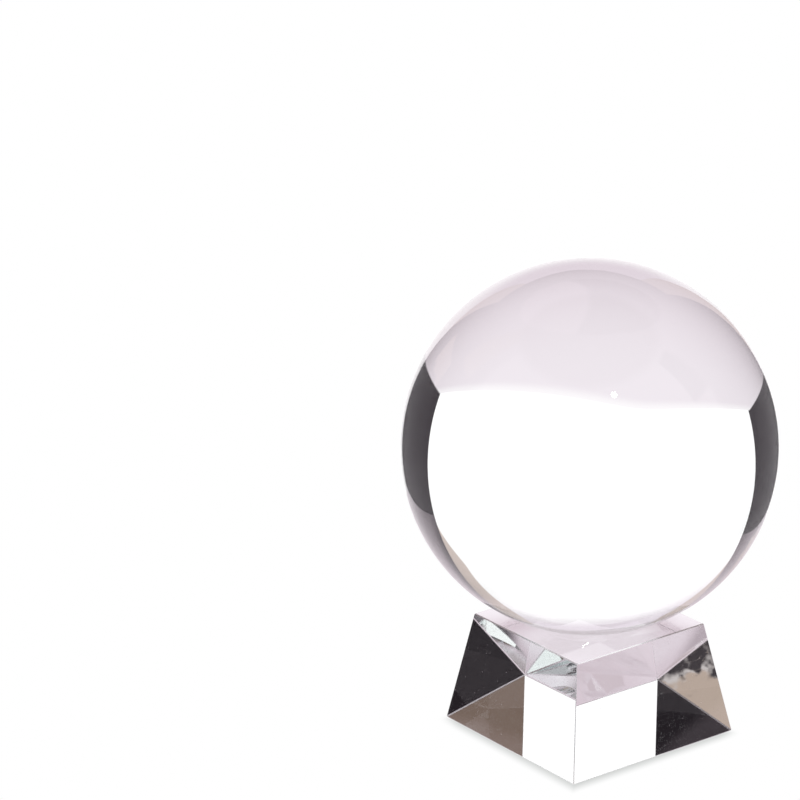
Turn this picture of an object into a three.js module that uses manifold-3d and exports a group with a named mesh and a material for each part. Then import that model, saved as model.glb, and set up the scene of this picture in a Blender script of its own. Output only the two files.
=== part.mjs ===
// Crystal ball on a pyramid stand: a solid polished sphere of clear optical crystal that rests by its
// own weight in a shallow round seat, ground into the top of a solid, square, tapered crystal block.
// Millimetres, +Z up. The origin is the middle of the block's underside, and the block's four sides
// face +X, -X, +Y and -Y.
import * as THREE from 'three';
import { mergeVertices } from 'three/addons/utils/BufferGeometryUtils.js';
import Module from 'manifold-3d';

// Ball
const BALL_DIAMETER = 200;
const BALL_RADIUS = BALL_DIAMETER / 2;
const BALL_SEGMENTS = 64; // around the axis; a multiple of 4, so that the box is the true diameter
const BALL_RINGS = 32; // from pole to pole

// Stand block
const BASE_SIDE = 110; // square underside
const TOP_SIDE = 87.5; // square top face
const STAND_HEIGHT = 62;
const EDGE_CHAMFER = 0.5; // how far each polished edge is taken back along the faces beside it

// Seat in the block's top face: a shallow bowl, flatter than the ball, which touches it in the middle
const SEAT_RIM_RADIUS = 32;
const BALL_SINK = 1.5; // how far the bottom of the ball lies below the top face
const SEAT_CLEARANCE = 0.3; // gap between the bottom of the ball and the bottom of the seat
const SEAT_DEPTH = BALL_SINK + SEAT_CLEARANCE;
const SEAT_SEGMENTS = 64; // around the axis
const SEAT_RINGS = 6; // from the middle of the seat to its rim
const CUTTER_OVERSHOOT = 0.5; // how far the cutter stands out above the top face

const BALL_CENTRE_Z = STAND_HEIGHT + BALL_RADIUS - BALL_SINK;

const wasm = await Module();
wasm.setup();

// A closed three.js geometry as a manifold solid.
function toSolid(geometry) {
  const bare = geometry.clone();
  bare.deleteAttribute('normal');
  bare.deleteAttribute('uv');
  const merged = mergeVertices(bare, 1e-5);
  const vertProperties = new Float32Array(merged.attributes.position.array);
  const triVerts = new Uint32Array(merged.index.array);
  return new wasm.Manifold(new wasm.Mesh({ numProp: 3, vertProperties, triVerts }));
}

// A manifold solid back as a three.js geometry.
function toGeometry(solid) {
  const mesh = solid.getMesh();
  const geometry = new THREE.BufferGeometry();
  geometry.setAttribute('position', new THREE.BufferAttribute(mesh.vertProperties, 3));
  geometry.setIndex(new THREE.BufferAttribute(mesh.triVerts, 1));
  geometry.computeVertexNormals();
  return geometry;
}

// The eight corners of a square outline with its corners cut off, counter-clockwise from above.
function cutSquare(side, cut, z) {
  const half = side / 2;
  const near = half - cut;
  return [
    [half, -near], [half, near], [near, half], [-near, half],
    [-half, near], [-half, -near], [-near, -half], [near, -half],
  ].map(([x, y]) => new THREE.Vector3(x, y, z));
}

// A closed skin over a stack of outlines with the same number of corners, capped flat at both ends.
function skinOutlines(outlines) {
  const count = outlines[0].length;
  const positions = outlines.flat().flatMap((corner) => corner.toArray());
  const indices = [];
  for (let level = 0; level < outlines.length - 1; level += 1) {
    for (let corner = 0; corner < count; corner += 1) {
      const low = level * count + corner;
      const lowNext = level * count + ((corner + 1) % count);
      indices.push(low, lowNext, lowNext + count);
      indices.push(low, lowNext + count, low + count);
    }
  }
  const top = (outlines.length - 1) * count;
  for (let corner = 1; corner < count - 1; corner += 1) {
    indices.push(0, corner + 1, corner);
    indices.push(top, top + corner, top + corner + 1);
  }
  const geometry = new THREE.BufferGeometry();
  geometry.setAttribute('position', new THREE.Float32BufferAttribute(positions, 3));
  geometry.setIndex(indices);
  return geometry;
}

// The block before its seat is ground: the tapered sides run between two cut squares, and a narrow
// chamfer turns each of them into the underside or the top face.
function blockBody() {
  const taper = (BASE_SIDE - TOP_SIDE) / STAND_HEIGHT; // side length lost per millimetre of height
  const sideAt = (z) => BASE_SIDE - taper * z;
  const lowEdge = EDGE_CHAMFER;
  const highEdge = STAND_HEIGHT - EDGE_CHAMFER;
  return skinOutlines([
    cutSquare(BASE_SIDE - 2 * EDGE_CHAMFER, EDGE_CHAMFER, 0),
    cutSquare(sideAt(lowEdge), EDGE_CHAMFER, lowEdge),
    cutSquare(sideAt(highEdge), EDGE_CHAMFER, highEdge),
    cutSquare(TOP_SIDE - 2 * EDGE_CHAMFER, EDGE_CHAMFER, STAND_HEIGHT),
  ]);
}

// What the grinding takes away: the cap of a large sphere, carried on past the top face and closed by
// a flat lid. The sphere's radius follows from the seat's rim and depth.
function seatCutter() {
  const bowlRadius = (SEAT_RIM_RADIUS ** 2 + SEAT_DEPTH ** 2) / (2 * SEAT_DEPTH);
  const bowlCentreZ = STAND_HEIGHT - SEAT_DEPTH + bowlRadius;
  const lidHeight = STAND_HEIGHT + CUTTER_OVERSHOOT;
  const lidAngle = Math.acos((bowlCentreZ - lidHeight) / bowlRadius);
  const profile = [new THREE.Vector2(0, bowlCentreZ - bowlRadius)];
  for (let ring = 1; ring <= SEAT_RINGS; ring += 1) {
    const angle = (lidAngle * ring) / SEAT_RINGS;
    profile.push(new THREE.Vector2(bowlRadius * Math.sin(angle), bowlCentreZ - bowlRadius * Math.cos(angle)));
  }
  profile.push(new THREE.Vector2(0, lidHeight));
  return new THREE.LatheGeometry(profile, SEAT_SEGMENTS).rotateX(Math.PI / 2);
}

// The solid crystal sphere, about its own centre, with its poles on the Z axis.
function crystalBall() {
  const geometry = new THREE.SphereGeometry(BALL_RADIUS, BALL_SEGMENTS, BALL_RINGS).rotateX(Math.PI / 2);
  const material = new THREE.MeshStandardMaterial({ color: 0xf2f1f5, roughness: 0.02, metalness: 0 });
  const ball = new THREE.Mesh(geometry, material);
  ball.name = 'crystal_ball';
  ball.position.z = BALL_CENTRE_Z;
  return ball;
}

// The solid crystal block with its seat.
function standBlock() {
  const block = toSolid(blockBody()).subtract(toSolid(seatCutter()));
  const material = new THREE.MeshStandardMaterial({ color: 0xe4e2ea, roughness: 0.03, metalness: 0 });
  const stand = new THREE.Mesh(toGeometry(block), material);
  stand.name = 'stand_block';
  return stand;
}

const crystalBallOnStand = new THREE.Group();
crystalBallOnStand.add(standBlock());
crystalBallOnStand.add(crystalBall());

export default crystalBallOnStand;
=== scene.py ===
import math

import bpy
import numpy as np
from mathutils import Matrix, Vector


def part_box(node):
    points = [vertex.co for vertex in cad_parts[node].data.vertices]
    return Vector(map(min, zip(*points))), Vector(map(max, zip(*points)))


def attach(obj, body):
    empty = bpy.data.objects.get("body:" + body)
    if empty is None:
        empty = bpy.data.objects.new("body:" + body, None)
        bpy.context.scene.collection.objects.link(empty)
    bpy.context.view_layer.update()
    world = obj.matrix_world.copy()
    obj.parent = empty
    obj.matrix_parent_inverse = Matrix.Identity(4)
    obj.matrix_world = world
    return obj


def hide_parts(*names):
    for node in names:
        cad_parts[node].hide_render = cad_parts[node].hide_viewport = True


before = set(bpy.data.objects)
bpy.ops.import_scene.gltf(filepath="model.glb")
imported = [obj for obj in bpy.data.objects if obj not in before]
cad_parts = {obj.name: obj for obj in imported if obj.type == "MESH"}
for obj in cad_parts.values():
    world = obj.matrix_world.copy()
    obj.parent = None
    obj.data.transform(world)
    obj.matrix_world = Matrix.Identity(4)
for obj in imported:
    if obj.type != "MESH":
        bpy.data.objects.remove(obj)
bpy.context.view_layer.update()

scene = bpy.context.scene

# ---------------------------------------------------------------------------------------------
# The camera. It stands in front of the block's left front corner, a little above the ball, and
# looks past the ball's left side, so that the ball and its block sit at the lower right.
# ---------------------------------------------------------------------------------------------
CAMERA_AZIMUTH = math.radians(-36.297)
CAMERA_ELEVATION = math.radians(19.47)
CAMERA_DISTANCE = 1.9316
CAMERA_ROLL = math.radians(-0.843)
AIM_BESIDE_AXIS = -0.09965
AIM_HEIGHT = 0.18797
LENS_MM = 165.24
SENSOR_MM = 36
FARTHEST_SEEN = 50

facing = Matrix.Rotation(CAMERA_AZIMUTH, 4, "Z")
aim = facing @ Vector((AIM_BESIDE_AXIS, 0, AIM_HEIGHT))
back = facing @ Vector((0, -math.cos(CAMERA_ELEVATION), math.sin(CAMERA_ELEVATION)))
camera = bpy.data.objects.new("camera", bpy.data.cameras.new("camera"))
camera.data.lens = LENS_MM
camera.data.sensor_width = SENSOR_MM
camera.data.clip_end = FARTHEST_SEEN
look = back.to_track_quat("Z", "Y").to_matrix().to_4x4()
camera.matrix_world = (
    Matrix.Translation(aim + CAMERA_DISTANCE * back) @ look @ Matrix.Rotation(CAMERA_ROLL, 4, "Z")
)
scene.collection.objects.link(camera)
scene.camera = camera

# ---------------------------------------------------------------------------------------------
# The stand block: one piece of clear optical glass, sawn, ground and polished on six faces as a
# cut-off square pyramid. Every edge has a narrow chamfer, left satin from the grinding, and the
# top has a shallow round bowl ground into it that the ball rests in.
# ---------------------------------------------------------------------------------------------
block_low, block_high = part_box("stand_block")
BLOCK_HEIGHT = block_high.z - block_low.z
TOP_HALF = 0.04375
CHAMFER = 0.0005
CORNER_CUT = 0.0003
SEAT_RIM_RADIUS = 0.032
SEAT_DEPTH = 0.0018
SIDE_STEPS = 48
BOWL_STEPS = 24
GLASS_IOR = 1.52
BLOCK_TINT = (0.80, 0.855, 0.845, 1)
BLOCK_TINT_DENSITY = 2.5
CHAMFER_GRAIN_SCALE = 900.0
CHAMFER_GRAIN_SPAN = (0.3, 0.8)
CHAMFER_ROUGHNESS = (0.22, 0.28)


def cut_square(half, cut, height):
    """A level square outline with cut corners: each side is the line x = half with y from
    -(half - cut) to half - cut, turned by 0, 90, 180 and 270 degrees about the upright axis."""
    across = np.linspace(-1, 1, SIDE_STEPS) * (half - cut)
    side = half + 1j * across
    loop = (side * np.array([[1], [1j], [-1], [-1j]])).ravel()
    return np.stack([loop.real, loop.imag, np.full(loop.size, height)], -1)


def level_circle(radius, height):
    """A level circle with as many points as the square outline, equally spaced, that starts on
    the same diagonal."""
    count = 4 * SIDE_STEPS
    angle = (np.arange(count) + 0.5) * 2 * np.pi / count - np.pi / 4
    return np.stack([radius * np.cos(angle), radius * np.sin(angle), np.full(count, height)], -1)


def closed_skin(name, rings, first_pole, last_pole):
    """A closed surface over a grid: point (i, j) is column j of ring i, four neighbours make a
    face, and a fan of triangles joins the first and the last ring to its pole."""
    count, across = rings.shape[:2]
    here = np.arange(count * across).reshape(count, across)
    ahead = np.roll(here, -1, axis=1)
    walls = np.stack([here[:-1], ahead[:-1], ahead[1:], here[1:]], -1).reshape(-1, 4)
    first = np.stack([ahead[0], here[0], np.full(across, here.size)], -1)
    last = np.stack([here[-1], ahead[-1], np.full(across, here.size + 1)], -1)
    points = np.vstack([rings.reshape(-1, 3), [first_pole, last_pole]])
    mesh = bpy.data.meshes.new(name)
    mesh.from_pydata(points.tolist(), [], walls.tolist() + first.tolist() + last.tolist())
    piece = bpy.data.objects.new(name, mesh)
    scene.collection.objects.link(piece)
    return piece


def block_rings():
    """The outline carried from the underside's edge over the lower chamfer, up the sloping side,
    over the upper chamfer, in across the top to the bowl's rim, and down the bowl, which is a
    part of a sphere: its height at radius r is its lowest point plus what the sphere has risen.
    The sides lean in evenly from the widest outline, at the top of the lower chamfer."""
    base_half = (block_high.x - TOP_HALF * CHAMFER / BLOCK_HEIGHT) / (1 - CHAMFER / BLOCK_HEIGHT)
    taper = (base_half - TOP_HALF) / BLOCK_HEIGHT
    shoulder = base_half - taper * (BLOCK_HEIGHT - CHAMFER)
    outlines = [
        cut_square(base_half - CHAMFER, CORNER_CUT, 0),
        cut_square(block_high.x, CORNER_CUT, CHAMFER),
        cut_square(shoulder, CORNER_CUT, BLOCK_HEIGHT - CHAMFER),
        cut_square(TOP_HALF - CHAMFER, CORNER_CUT, BLOCK_HEIGHT),
    ]
    bowl_radius = (SEAT_RIM_RADIUS**2 + SEAT_DEPTH**2) / (2 * SEAT_DEPTH)
    out = np.linspace(1, 0, BOWL_STEPS, endpoint=False) * SEAT_RIM_RADIUS
    rise = bowl_radius - np.sqrt(bowl_radius**2 - out**2)
    bowl = [level_circle(r, BLOCK_HEIGHT - SEAT_DEPTH + z) for r, z in zip(out, rise)]
    return np.stack(outlines + bowl)


rings = block_rings()
bowl_bottom = (0, 0, BLOCK_HEIGHT - SEAT_DEPTH)
block = closed_skin("stand_block_glass", rings, (0, 0, 0), bowl_bottom)

# The strips between rings run lower chamfer, side, upper chamfer, flat of the top, then the bowl.
# Only the bowl is smooth. The last column of each side is the cut corner edge.
LOWER_CHAMFER = 0
UPPER_CHAMFER = 2
TOP_FLAT = 3
strips = rings.shape[0] - 1
columns = rings.shape[1]
strip_of = np.concatenate(
    [np.repeat(np.arange(strips), columns), np.full(columns, -1), np.full(columns, strips)]
)
column_of = np.tile(np.arange(columns), strips + 2)
block.data.polygons.foreach_set("use_smooth", strip_of > TOP_FLAT)
on_corner = (column_of % SIDE_STEPS == SIDE_STEPS - 1) & (strip_of >= 0) & (strip_of < TOP_FLAT)
on_chamfer = on_corner | (strip_of == LOWER_CHAMFER) | (strip_of == UPPER_CHAMFER)
block.data.attributes.new("chamfer", "FLOAT", "FACE").data.foreach_set(
    "value", on_chamfer.astype(np.float32)
)


def add(tree, kind, settings, inputs, out=0):
    """One shader node: settings are its properties, and inputs its sockets by name or number,
    each linked where it is given a socket and set where it is given a value."""
    made = tree.nodes.new("ShaderNode" + kind)
    for name, value in settings.items():
        setattr(made, name, value)
    for name, value in inputs.items():
        if isinstance(value, bpy.types.NodeSocket):
            tree.links.new(value, made.inputs[name])
        else:
            made.inputs[name].default_value = value
    return made.outputs[out]


def sums(tree, operation, first, second=0.0):
    """One sum on one or two numbers."""
    return add(tree, "Math", {"operation": operation}, {0: first, 1: second})


def fade(tree, value, start, end, low=0.0, high=1.0):
    """Goes smoothly from low to high while value goes from start to end."""
    spans = {"Value": value, "From Min": start, "From Max": end, "To Min": low, "To Max": high}
    return add(tree, "MapRange", {"interpolation_type": "SMOOTHSTEP"}, spans)


def polish_marks_group():
    """What a cloth-polished glass face keeps: dust specks, which are cells of a Voronoi pattern
    with a small dot of random size in a few of them, and fine hairlines, which are the narrow
    middle lines of a noise stretched one way, broken up by a second noise."""
    smallest_speck = 0.08
    speck_spread = 0.2
    hair_turn = (0.4, 0.9, 0.3)
    hair_stretch = (0.15, 1, 1)
    hair_gaps = (0.52, 0.6)
    group = bpy.data.node_groups.new("polish_marks", "ShaderNodeTree")
    face = group.interface
    for name, value in {
        "Speck Scale": 1000.0, "Speck Share": 0.01, "Speck Strength": 0.5,
        "Hairline Scale": 60.0, "Hairline Width": 0.001, "Hairline Strength": 0.2,
    }.items():
        face.new_socket(name, in_out="INPUT", socket_type="NodeSocketFloat").default_value = value
    face.new_socket("Coordinates", in_out="INPUT", socket_type="NodeSocketVector")
    face.new_socket("Roughness", in_out="OUTPUT", socket_type="NodeSocketFloat")
    given = group.nodes.new("NodeGroupInput").outputs
    result = group.nodes.new("NodeGroupOutput").inputs
    cells = group.nodes.new("ShaderNodeTexVoronoi")
    group.links.new(given["Coordinates"], cells.inputs["Vector"])
    group.links.new(given["Speck Scale"], cells.inputs["Scale"])
    lot = add(group, "SeparateColor", {}, {0: cells.outputs["Color"]}, "Red")
    size = add(group, "SeparateColor", {}, {0: cells.outputs["Color"]}, "Green")
    chosen = sums(group, "LESS_THAN", lot, given["Speck Share"])
    reach = sums(group, "ADD", sums(group, "MULTIPLY", size, speck_spread), smallest_speck)
    inside = sums(group, "LESS_THAN", cells.outputs["Distance"], reach)
    specks = sums(group, "MULTIPLY", chosen, inside)
    long_way = add(
        group, "Mapping", {},
        {"Vector": given["Coordinates"], "Rotation": hair_turn, "Scale": hair_stretch},
    )
    waves = add(
        group, "TexNoise", {},
        {"Vector": long_way, "Scale": given["Hairline Scale"], "Detail": 3.0, "Roughness": 0.6},
    )
    off_line = sums(group, "ABSOLUTE", sums(group, "SUBTRACT", waves, 0.5))
    hairs = sums(group, "LESS_THAN", off_line, given["Hairline Width"])
    broken = add(
        group, "TexNoise", {},
        {"Vector": given["Coordinates"], "Scale": given["Hairline Scale"], "Detail": 1.0},
    )
    hairs = sums(group, "MULTIPLY", hairs, fade(group, broken, *hair_gaps))
    dusty = sums(group, "MULTIPLY", specks, given["Speck Strength"])
    scratched = sums(group, "MULTIPLY", hairs, given["Hairline Strength"])
    group.links.new(sums(group, "MAXIMUM", dusty, scratched), result["Roughness"])
    return group


polish_marks = polish_marks_group()


def polished_glass(name, colour, density, marks):
    """Clear glass that bends and mirrors light by its own index and takes up a little colour in
    depth, with the polish marks for its roughness. Returns the material, its tree, the shader's
    inputs, the marks' roughness and the place on the piece."""
    material = bpy.data.materials.new(name)
    material.use_nodes = True
    tree = material.node_tree
    shader = tree.nodes["Principled BSDF"]
    shader.inputs["Base Color"].default_value = (1, 1, 1, 1)
    shader.inputs["IOR"].default_value = GLASS_IOR
    shader.inputs["Transmission Weight"].default_value = 1
    shader.inputs["Metallic"].default_value = 0
    tint = tree.nodes.new("ShaderNodeVolumeAbsorption")
    tint.inputs["Color"].default_value = colour
    tint.inputs["Density"].default_value = density
    tree.links.new(tint.outputs["Volume"], tree.nodes["Material Output"].inputs["Volume"])
    use = tree.nodes.new("ShaderNodeGroup")
    use.node_tree = polish_marks
    for label, value in marks.items():
        use.inputs[label].default_value = value
    place = tree.nodes.new("ShaderNodeTexCoord").outputs["Object"]
    tree.links.new(place, use.inputs["Coordinates"])
    return material, tree, shader.inputs, use.outputs["Roughness"], place


block_glass, tree, shader, marked, place = polished_glass(
    "block_glass", BLOCK_TINT, BLOCK_TINT_DENSITY,
    {"Speck Scale": 1000.0, "Speck Share": 0.012, "Speck Strength": 0.5,
     "Hairline Scale": 60.0, "Hairline Width": 0.0011, "Hairline Strength": 0.2},
)
ground = add(tree, "Attribute", {"attribute_name": "chamfer"}, {}, "Fac")
grain = add(
    tree, "TexNoise", {}, {"Vector": place, "Scale": CHAMFER_GRAIN_SCALE, "Detail": 2.0}
)
grainy = fade(tree, grain, *CHAMFER_GRAIN_SPAN, *CHAMFER_ROUGHNESS)
satin = sums(tree, "MULTIPLY", ground, grainy)
tree.links.new(sums(tree, "MAXIMUM", marked, satin), shader["Roughness"])
block.data.materials.append(block_glass)
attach(block, "stand")
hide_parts("stand_block")

# ---------------------------------------------------------------------------------------------
# The ball: one sphere of the same clear optical glass, ground round and polished all over. It
# is loose, and stands by its own weight in the block's bowl.
# ---------------------------------------------------------------------------------------------
ball_low, ball_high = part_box("crystal_ball")
BALL_RADIUS = (ball_high.z - ball_low.z) / 2
BALL_CENTRE = (ball_low + ball_high) / 2
BALL_RINGS = 160
BALL_COLUMNS = 320
BALL_TINT = (0.75, 0.88, 0.83, 1)
BALL_TINT_DENSITY = 1.0


def ball_rings():
    """A sphere: height is -cos and distance from the axis is sin of the angle from the lowest
    point, carried once round the axis."""
    lift = np.linspace(0, np.pi, BALL_RINGS + 1)[1:-1, None]
    turn = np.arange(BALL_COLUMNS)[None, :] * 2 * np.pi / BALL_COLUMNS
    unit = np.stack(
        [np.sin(lift) * np.cos(turn), np.sin(lift) * np.sin(turn), -np.cos(lift) + 0 * turn], -1
    )
    return BALL_RADIUS * unit + np.array(BALL_CENTRE)


pole = Vector((0, 0, BALL_RADIUS))
ball = closed_skin("crystal_ball_glass", ball_rings(), BALL_CENTRE - pole, BALL_CENTRE + pole)
ball.data.polygons.foreach_set("use_smooth", np.ones(len(ball.data.polygons), bool))
ball_glass, tree, shader, marked, _ = polished_glass(
    "ball_glass", BALL_TINT, BALL_TINT_DENSITY,
    {"Speck Scale": 500.0, "Speck Share": 0.0015, "Speck Strength": 0.5,
     "Hairline Scale": 25.0, "Hairline Width": 0.001, "Hairline Strength": 0.05},
)
tree.links.new(marked, shader["Roughness"])
ball.data.materials.append(ball_glass)
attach(ball, "ball")
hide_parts("crystal_ball")

# ---------------------------------------------------------------------------------------------
# The floor: the pale top of a studio table, just under the block with a film of air between.
# The camera sees an endless plain white with a soft painted shade along the block. The glass
# sees the table as a painted glow: its own tones, darker near the block as painted shade, a
# painted shadow strip in front, a painted pool of light under the block, a painted shadow at the
# left, a painted glow just before the sweep's foot, its two side edges, and the bowed foot of
# the sweep that stands on it.
# ---------------------------------------------------------------------------------------------
AIR_FILM = 0.0003
FLOOR_HALF = 8.0
PLAIN = (1, 1, 1, 1)

# The table's tones, and where they begin and end. "Right" and "away" are seen from the camera.
# The near tone is painted shade: the table is darker close to the block and paler away from it.
TABLE_NEAR_SHADE = (0.73, 0.61, 0.68, 1)
TABLE_FAR = (0.945, 0.865, 0.925, 1)
TABLE_FAR_AWAY = 0.30
# The front strip is a painted shadow across the table in front of the block.
TABLE_FRONT_SHADOW = (0.13, 0.11, 0.125, 1)
FRONT_SHADOW_BEGINS = (-0.035, -0.055)
FRONT_SHADOW_ENDS = (-0.26, -0.20)
# The lit patch is a painted pool of light under the block, where the glass gathers light.
TABLE_LIT = (0.95, 0.87, 0.935, 1)
LIT_RADIUS = (0.056, 0.036)
TABLE_SHADOW = (0.12, 0.10, 0.11, 1)
SHADOW_ACROSS = (-0.06, -0.11)
SHADOW_AWAY = (0.10, 0.04)

# Each side edge is a straight line: its distance from the middle, less a slope times away.
LEFT_EDGE = 0.309
LEFT_EDGE_SLOPE = 0.34
RIGHT_EDGE = 0.2362
RIGHT_EDGE_SLOPE = 0.206
EDGE_SOFT = (-0.002, 0.004)

# The sweep's foot on the table: two straight runs that meet in a rounded bow.
FOOT_AWAY = 0.358
FOOT_BOW = 0.0186
FOOT_ROUND = 0.0004
FOOT_SLOPE = 0.405
FOOT_LEAN = 0.1015
# Just before the foot the table glows brighter than white: painted light.
FOOT_PAINTED_GLOW = (1.07, 1.02, 1.05, 1)
FOOT_GLOW = (-0.02, 0.0)
FOOT_EDGE = (0.0, 0.001)

# The shade where the block stands, moved a little towards the camera.
SHADE_SHIFT = 0.0025
SHADE_SPREAD = (0.009, -0.002)
SHADE_SIDES = (0.083, 0.070)
CONTACT_SHADE = (0.62, 0.635, 0.625, 1)

corners = np.array([[-1, -1], [1, -1], [1, 1], [-1, 1]]) * FLOOR_HALF
floor_mesh = bpy.data.meshes.new("floor")
floor_mesh.from_pydata([(x, y, -AIR_FILM) for x, y in corners.tolist()], [], [(0, 1, 2, 3)])
floor = bpy.data.objects.new("floor", floor_mesh)
scene.collection.objects.link(floor)


def blend(tree, factor, first, second):
    """The first colour where factor is 0 and the second where it is 1. On the Mix node, inputs
    6 and 7 are the two colours, and output 2 is their mixture."""
    return add(tree, "Mix", {"data_type": "RGBA"}, {0: factor, 6: first, 7: second}, 2)


def studio_axes(tree, socket):
    """Position or direction as (to the camera's right, away from the camera, up), and the
    unturned vector that it comes from."""
    source = tree.nodes.new("ShaderNodeTexCoord").outputs[socket]
    turned = add(tree, "Mapping", {}, {"Vector": source, "Rotation": (0, 0, -CAMERA_AZIMUTH)})
    parts = tree.nodes.new("ShaderNodeSeparateXYZ")
    tree.links.new(turned, parts.inputs[0])
    return list(parts.outputs), source


def steps(tree, value, *chain):
    """A run of sums on one value, each given as (operation, number or socket)."""
    for operation, other in chain:
        value = sums(tree, operation, value, other)
    return value


def bare_paint(mesh, name):
    """A new material on a mesh, with an empty node tree. Returns the tree."""
    paint = bpy.data.materials.new(name)
    paint.use_nodes = True
    paint.node_tree.nodes.clear()
    mesh.materials.append(paint)
    return paint.node_tree


def give_out(tree, shader):
    """Makes a shader the surface of its material."""
    tree.links.new(shader, tree.nodes.new("ShaderNodeOutputMaterial").inputs["Surface"])


def glow(tree, colour):
    """An even glow of one colour, given as a value or a socket."""
    return add(tree, "Emission", {}, {"Color": colour})


tree = bare_paint(floor_mesh, "studio_floor")
(right, away, _), place = studio_axes(tree, "Object")
table = blend(tree, fade(tree, away, 0.0, TABLE_FAR_AWAY), TABLE_NEAR_SHADE, TABLE_FAR)
# A painted shadow strip across the table in front of the block.
in_front_shadow = sums(
    tree, "MULTIPLY", fade(tree, away, *FRONT_SHADOW_BEGINS), fade(tree, away, *FRONT_SHADOW_ENDS)
)
table = blend(tree, in_front_shadow, table, TABLE_FRONT_SHADOW)
# A painted pool of light round the middle, under the block.
from_middle = add(tree, "VectorMath", {"operation": "LENGTH"}, {0: place}, "Value")
table = blend(tree, fade(tree, from_middle, *LIT_RADIUS), table, TABLE_LIT)
in_shadow = sums(
    tree, "MULTIPLY", fade(tree, right, *SHADOW_ACROSS), fade(tree, away, *SHADOW_AWAY)
)
table = blend(tree, in_shadow, table, TABLE_SHADOW)

# Past a side edge, or past the foot, the table ends and the glass sees the studio behind it.
past_left = steps(
    tree, away, ("MULTIPLY", LEFT_EDGE_SLOPE), ("SUBTRACT", LEFT_EDGE), ("SUBTRACT", right)
)
past_right = steps(
    tree, away, ("MULTIPLY", RIGHT_EDGE_SLOPE), ("SUBTRACT", RIGHT_EDGE), ("ADD", right)
)
past_side = sums(tree, "MAXIMUM", past_left, past_right)
bow = sums(tree, "ADD", right, FOOT_BOW)
run = steps(
    tree, bow,
    ("MULTIPLY", bow), ("ADD", FOOT_ROUND), ("SQRT", 0.0), ("MULTIPLY", FOOT_SLOPE),
)
slant = sums(tree, "ADD", run, sums(tree, "MULTIPLY", bow, FOOT_LEAN))
past_foot = steps(tree, slant, ("ADD", away), ("SUBTRACT", FOOT_AWAY))
# The painted glow on the table just before the sweep's foot.
table = blend(tree, fade(tree, past_foot, *FOOT_GLOW), table, FOOT_PAINTED_GLOW)
off_table = sums(
    tree, "MAXIMUM", fade(tree, past_side, *EDGE_SOFT), fade(tree, past_foot, *FOOT_EDGE)
)
for_glass = add(
    tree, "MixShader", {},
    {0: off_table, 1: glow(tree, table), 2: add(tree, "BsdfTransparent", {}, {})},
)

# The shade follows the square of the block's underside, and stops at its left and right corners.
shift = facing @ Vector((0, SHADE_SHIFT, 0))
plan = tree.nodes.new("ShaderNodeSeparateXYZ")
tree.links.new(add(tree, "Mapping", {}, {"Vector": place, "Location": shift}), plan.inputs[0])
farther = sums(
    tree, "MAXIMUM", sums(tree, "ABSOLUTE", plan.outputs["X"]),
    sums(tree, "ABSOLUTE", plan.outputs["Y"]),
)
beside_block = sums(tree, "SUBTRACT", farther, block_high.x - SHADE_SHIFT)
shade = sums(
    tree, "MULTIPLY", fade(tree, beside_block, *SHADE_SPREAD),
    fade(tree, sums(tree, "ABSOLUTE", right), *SHADE_SIDES),
)
for_camera = glow(tree, blend(tree, shade, PLAIN, CONTACT_SHADE))
from_camera = tree.nodes.new("ShaderNodeLightPath").outputs["Is Camera Ray"]
give_out(tree, add(tree, "MixShader", {}, {0: from_camera, 1: for_glass, 2: for_camera}))

# ---------------------------------------------------------------------------------------------
# The sweep: an upright sheet of white paper that stands on the back of the table, lit brightest
# low down, with its white narrowing towards the top at both sides into tan strips. Only the glass
# sees it.
# ---------------------------------------------------------------------------------------------
# The sweep's tones are a painted glow, brightest low down and dimmer towards the top; no lamp
# lights it.
SWEEP_WHITE = (1.25, 1.23, 1.24, 1)
SWEEP_TOP = (0.91, 0.81, 0.90, 1)
SWEEP_DIMS = (0.255, 0.37)
SWEEP_TAN = (0.72, 0.60, 0.55, 1)
SWEEP_LEFT = -0.203
SWEEP_RIGHT = 0.183
SWEEP_HEIGHT = 0.42
SWEEP_STEPS = 60

# Each curl is only painted on the flat sheet: two heights, and how far to the right the white
# reaches at each of them. The top curl on the right is added to the one below it.
LEFT_CURL = (0.22, 0.40, -0.204, -0.120)
RIGHT_CURL = (0.15, 0.205, 0.184, 0.150)
RIGHT_TOP_CURL = (0.2, 0.36, 0.0, -0.03)
CURL_SOFT = (-0.001, 0.002)


def upright_sheet():
    """A sheet over a grid: across it runs along the foot line from left to right, and up it
    rises straight, with the whole turned to face the camera's direction. The foot line's
    distance away is the root of the squared distance from the bow, rounded, times one slope,
    plus the plain distance from the bow times another, both taken from the farthest point."""
    across, up = np.meshgrid(
        np.linspace(SWEEP_LEFT, SWEEP_RIGHT, SWEEP_STEPS),
        np.linspace(-AIR_FILM, SWEEP_HEIGHT, SWEEP_STEPS), indexing="ij",
    )
    bow = across + FOOT_BOW
    foot = FOOT_AWAY - FOOT_SLOPE * np.sqrt(bow**2 + FOOT_ROUND) - FOOT_LEAN * bow
    points = np.stack([across, foot, up], -1).reshape(-1, 3) @ np.array(facing.to_3x3()).T
    grid = np.arange(SWEEP_STEPS**2).reshape(SWEEP_STEPS, SWEEP_STEPS)
    faces = np.stack([grid[:-1, :-1], grid[1:, :-1], grid[1:, 1:], grid[:-1, 1:]], -1)
    return points.tolist(), faces.reshape(-1, 4).tolist()


sheet_points, sheet_faces = upright_sheet()
sweep_mesh = bpy.data.meshes.new("sweep")
sweep_mesh.from_pydata(sheet_points, [], sheet_faces)
sweep = bpy.data.objects.new("sweep", sweep_mesh)
sweep.visible_camera = False
scene.collection.objects.link(sweep)

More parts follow.
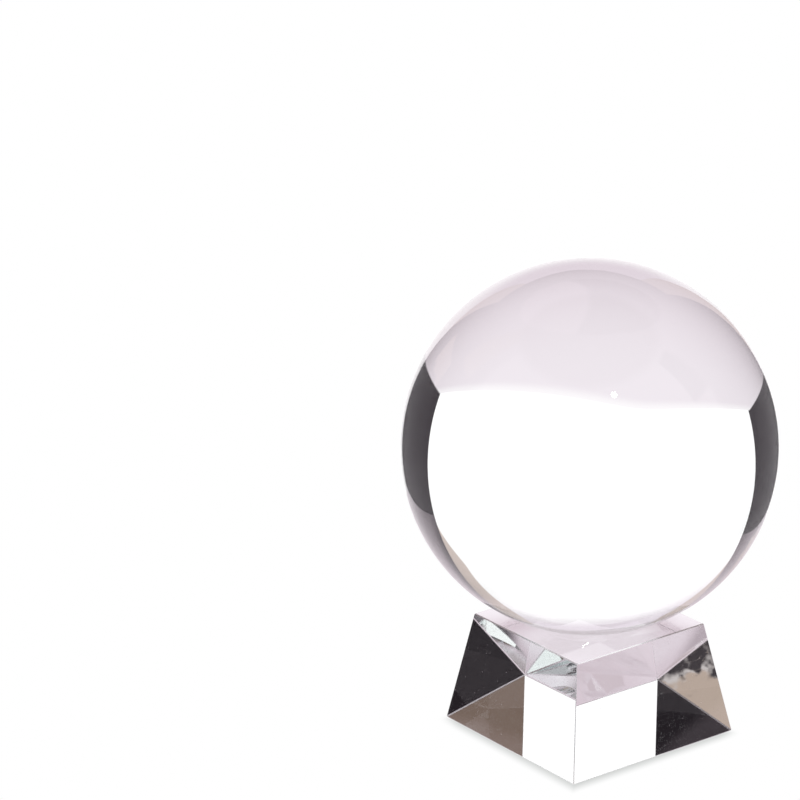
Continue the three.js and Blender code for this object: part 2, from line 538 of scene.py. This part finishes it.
tree = bare_paint(sweep_mesh, "studio_sweep")
(right, _, up), _ = studio_axes(tree, "Object")
paper = blend(tree, fade(tree, up, *SWEEP_DIMS), SWEEP_WHITE, SWEEP_TOP)
right_limit = sums(tree, "ADD", fade(tree, up, *RIGHT_CURL), fade(tree, up, *RIGHT_TOP_CURL))
left_limit = fade(tree, up, *LEFT_CURL)
outside = sums(
    tree, "MAXIMUM", sums(tree, "SUBTRACT", right, right_limit),
    sums(tree, "SUBTRACT", left_limit, right),
)
give_out(tree, glow(tree, blend(tree, fade(tree, outside, *CURL_SOFT), paper, SWEEP_TAN)))

# ---------------------------------------------------------------------------------------------
# A small mottled card that stands high at the left, square to the line along which the block's
# right corner throws its view: tan paper below a ragged dark edge with paler patches in it.
# ---------------------------------------------------------------------------------------------
CARD_PLACE = (-0.296, 0.1989, 0.2568)
CARD_TURN = math.radians(-64.6)
CARD_RISE = math.radians(36.1)
CARD_HALF = 0.06
CARD_TAN = (0.50, 0.395, 0.33, 1)
CARD_BLOT = (0.022, 0.018, 0.022, 1)
CARD_PATCH = (0.30, 0.27, 0.27, 1)
CARD_PALE = (0.60, 0.55, 0.54, 1)
BLOT_SCALE = 55.0
BLOT_DEPTH = 0.05
BLOT_EDGE = (-0.009, -0.003)
PATCH_SCALE = 90.0
PATCH_SPAN = (0.5, 0.68)
PALE_SPAN = (0.42, 0.54)
PALE_EDGE = (-0.019, -0.009)


def studio_direction(turn, rise):
    """The unit vector at a turn to the camera's right and a rise above level, in the camera's
    own directions."""
    level = math.cos(rise)
    return Vector((math.sin(turn) * level, math.cos(turn) * level, math.sin(rise)))


card_mesh = bpy.data.meshes.new("card")
card_corners = np.array([[-1, -1, 0], [1, -1, 0], [1, 1, 0], [-1, 1, 0]]) * CARD_HALF
card_mesh.from_pydata(card_corners.tolist(), [], [(0, 1, 2, 3)])
card = bpy.data.objects.new("card", card_mesh)
towards_card = studio_direction(CARD_TURN, CARD_RISE)
card_across = towards_card.cross(Vector((0, 0, 1))).normalized()
card_up = card_across.cross(towards_card)
stood = Matrix((card_across, card_up, -towards_card)).transposed().to_4x4()
card.matrix_world = facing @ Matrix.Translation(CARD_PLACE) @ stood
card.visible_camera = False
scene.collection.objects.link(card)

# The card glows with its painted tones; no lamp lights it.
tree = bare_paint(card_mesh, "studio_card")
flat = tree.nodes.new("ShaderNodeTexCoord").outputs["Object"]
upward = add(tree, "SeparateXYZ", {}, {0: flat}, "Y")
blots = add(tree, "TexNoise", {}, {"Vector": flat, "Scale": BLOT_SCALE, "Detail": 2.5})
patches = add(tree, "TexNoise", {}, {"Vector": flat, "Scale": PATCH_SCALE, "Detail": 2.0})
ragged = steps(tree, blots, ("SUBTRACT", 0.5), ("MULTIPLY", BLOT_DEPTH), ("ADD", upward))
dark = blend(tree, fade(tree, patches, *PATCH_SPAN), CARD_BLOT, CARD_PATCH)
beside_tan = sums(
    tree, "MULTIPLY", fade(tree, ragged, *PALE_EDGE), fade(tree, patches, *PALE_SPAN)
)
dark = blend(tree, beside_tan, dark, CARD_PALE)
give_out(tree, glow(tree, blend(tree, fade(tree, ragged, *BLOT_EDGE), dark, CARD_TAN)))

# ---------------------------------------------------------------------------------------------
# The studio round the table: dim sides that grow paler higher up, a pale room behind the camera,
# a few dark and brown flags, and a dim ceiling. The camera sees plain white instead.
# ---------------------------------------------------------------------------------------------
SIDES_LOW = (0.028, 0.021, 0.027, 1)
SIDES_HIGH = (0.63, 0.56, 0.60, 1)
SIDES_RISE = (5, 60)
ROOM_LOW = (0.46, 0.41, 0.44, 1)
ROOM_HIGH = (0.80, 0.74, 0.78, 1)
ROOM_RISE = (-5, 40)
ROOM_TURN = (82, 90)
CEILING = (0.24, 0.175, 0.18, 1)
CEILING_RISE = (52, 60)
FLAG_BLACK = (0.006, 0.004, 0.006, 1)
FLAG_BROWN = (0.20, 0.14, 0.11, 1)
FLAG_SOFT = 3

# Each flag is its two turns to the right and its two heights, all in degrees.
TAN_FLAG = (-73, -59, 27, 90)
HIGH_BLACK_FLAG = (84, 102, 28, 52)
BROWN_FLAG = (106, 122, -6, 18)
LOW_BLACK_FLAG = (-96, -79, -4, 22)

world = bpy.data.worlds.new("studio")
scene.world = world
world.use_nodes = True
tree = world.node_tree
tree.nodes.clear()
(right, away, up), _ = studio_axes(tree, "Generated")
turn = sums(tree, "ARCTAN2", right, away)
rise = sums(tree, "ARCSINE", up)


def passing(tree, angle, first, last):
    """Goes smoothly from 0 to 1 between two angles given in degrees."""
    return fade(tree, angle, math.radians(first), math.radians(last))


def flag(tree, behind, colour, left, right, low, high):
    """A soft-edged flat card before what is behind it, between two turns and two heights."""
    across = sums(
        tree, "MULTIPLY", passing(tree, turn, left - FLAG_SOFT, left),
        passing(tree, turn, right + FLAG_SOFT, right),
    )
    upright = sums(
        tree, "MULTIPLY", passing(tree, rise, low - FLAG_SOFT, low),
        passing(tree, rise, high + FLAG_SOFT, high),
    )
    return blend(tree, sums(tree, "MULTIPLY", across, upright), behind, colour)


sides = blend(tree, passing(tree, rise, *SIDES_RISE), SIDES_LOW, SIDES_HIGH)
sides = flag(tree, sides, CARD_TAN, *TAN_FLAG)
room = blend(tree, passing(tree, rise, *ROOM_RISE), ROOM_LOW, ROOM_HIGH)
room = flag(tree, room, FLAG_BLACK, *HIGH_BLACK_FLAG)
room = flag(tree, room, FLAG_BROWN, *BROWN_FLAG)
side_turn = sums(tree, "ABSOLUTE", turn)
studio = blend(tree, passing(tree, side_turn, *ROOM_TURN), sides, room)
studio = flag(tree, studio, FLAG_BLACK, *LOW_BLACK_FLAG)
studio = blend(tree, passing(tree, rise, *CEILING_RISE), studio, CEILING)
from_camera = tree.nodes.new("ShaderNodeLightPath").outputs["Is Camera Ray"]
sky = add(tree, "Background", {}, {"Color": blend(tree, from_camera, studio, PLAIN)})
tree.links.new(sky, tree.nodes.new("ShaderNodeOutputWorld").inputs["Surface"])

# ---------------------------------------------------------------------------------------------
# The lamp: one round lamp high behind the camera. The glass shows it only as a mirrored spot.
# ---------------------------------------------------------------------------------------------
LAMP_TURN = math.radians(162)
LAMP_RISE = math.radians(49)
LAMP_DISTANCE = 2.0
LAMP_WIDTH = 0.133
LAMP_RADIANCE = 25.0

# The power of an even disk is its radiance times pi times its area.
lamp = bpy.data.objects.new("lamp", bpy.data.lights.new("lamp", "AREA"))
lamp.data.shape = "DISK"
lamp.data.size = LAMP_WIDTH
lamp.data.energy = LAMP_RADIANCE * math.pi * math.pi * (LAMP_WIDTH / 2) ** 2
towards_lamp = facing @ studio_direction(LAMP_TURN, LAMP_RISE)
lamp.matrix_world = (
    Matrix.Translation(BALL_CENTRE + LAMP_DISTANCE * towards_lamp)
    @ towards_lamp.to_track_quat("Z", "Y").to_matrix().to_4x4()
)
lamp.visible_camera = False
lamp.visible_transmission = False
scene.collection.objects.link(lamp)

# The picture keeps the lights' own tones, and light may cross many glass faces.
LIGHT_BOUNCES = 32

scene.view_settings.view_transform = "Standard"
scene.cycles.use_denoising = True
scene.cycles.max_bounces = LIGHT_BOUNCES
scene.cycles.transmission_bounces = LIGHT_BOUNCES
scene.cycles.glossy_bounces = LIGHT_BOUNCES
scene.cycles.sample_clamp_indirect = 0
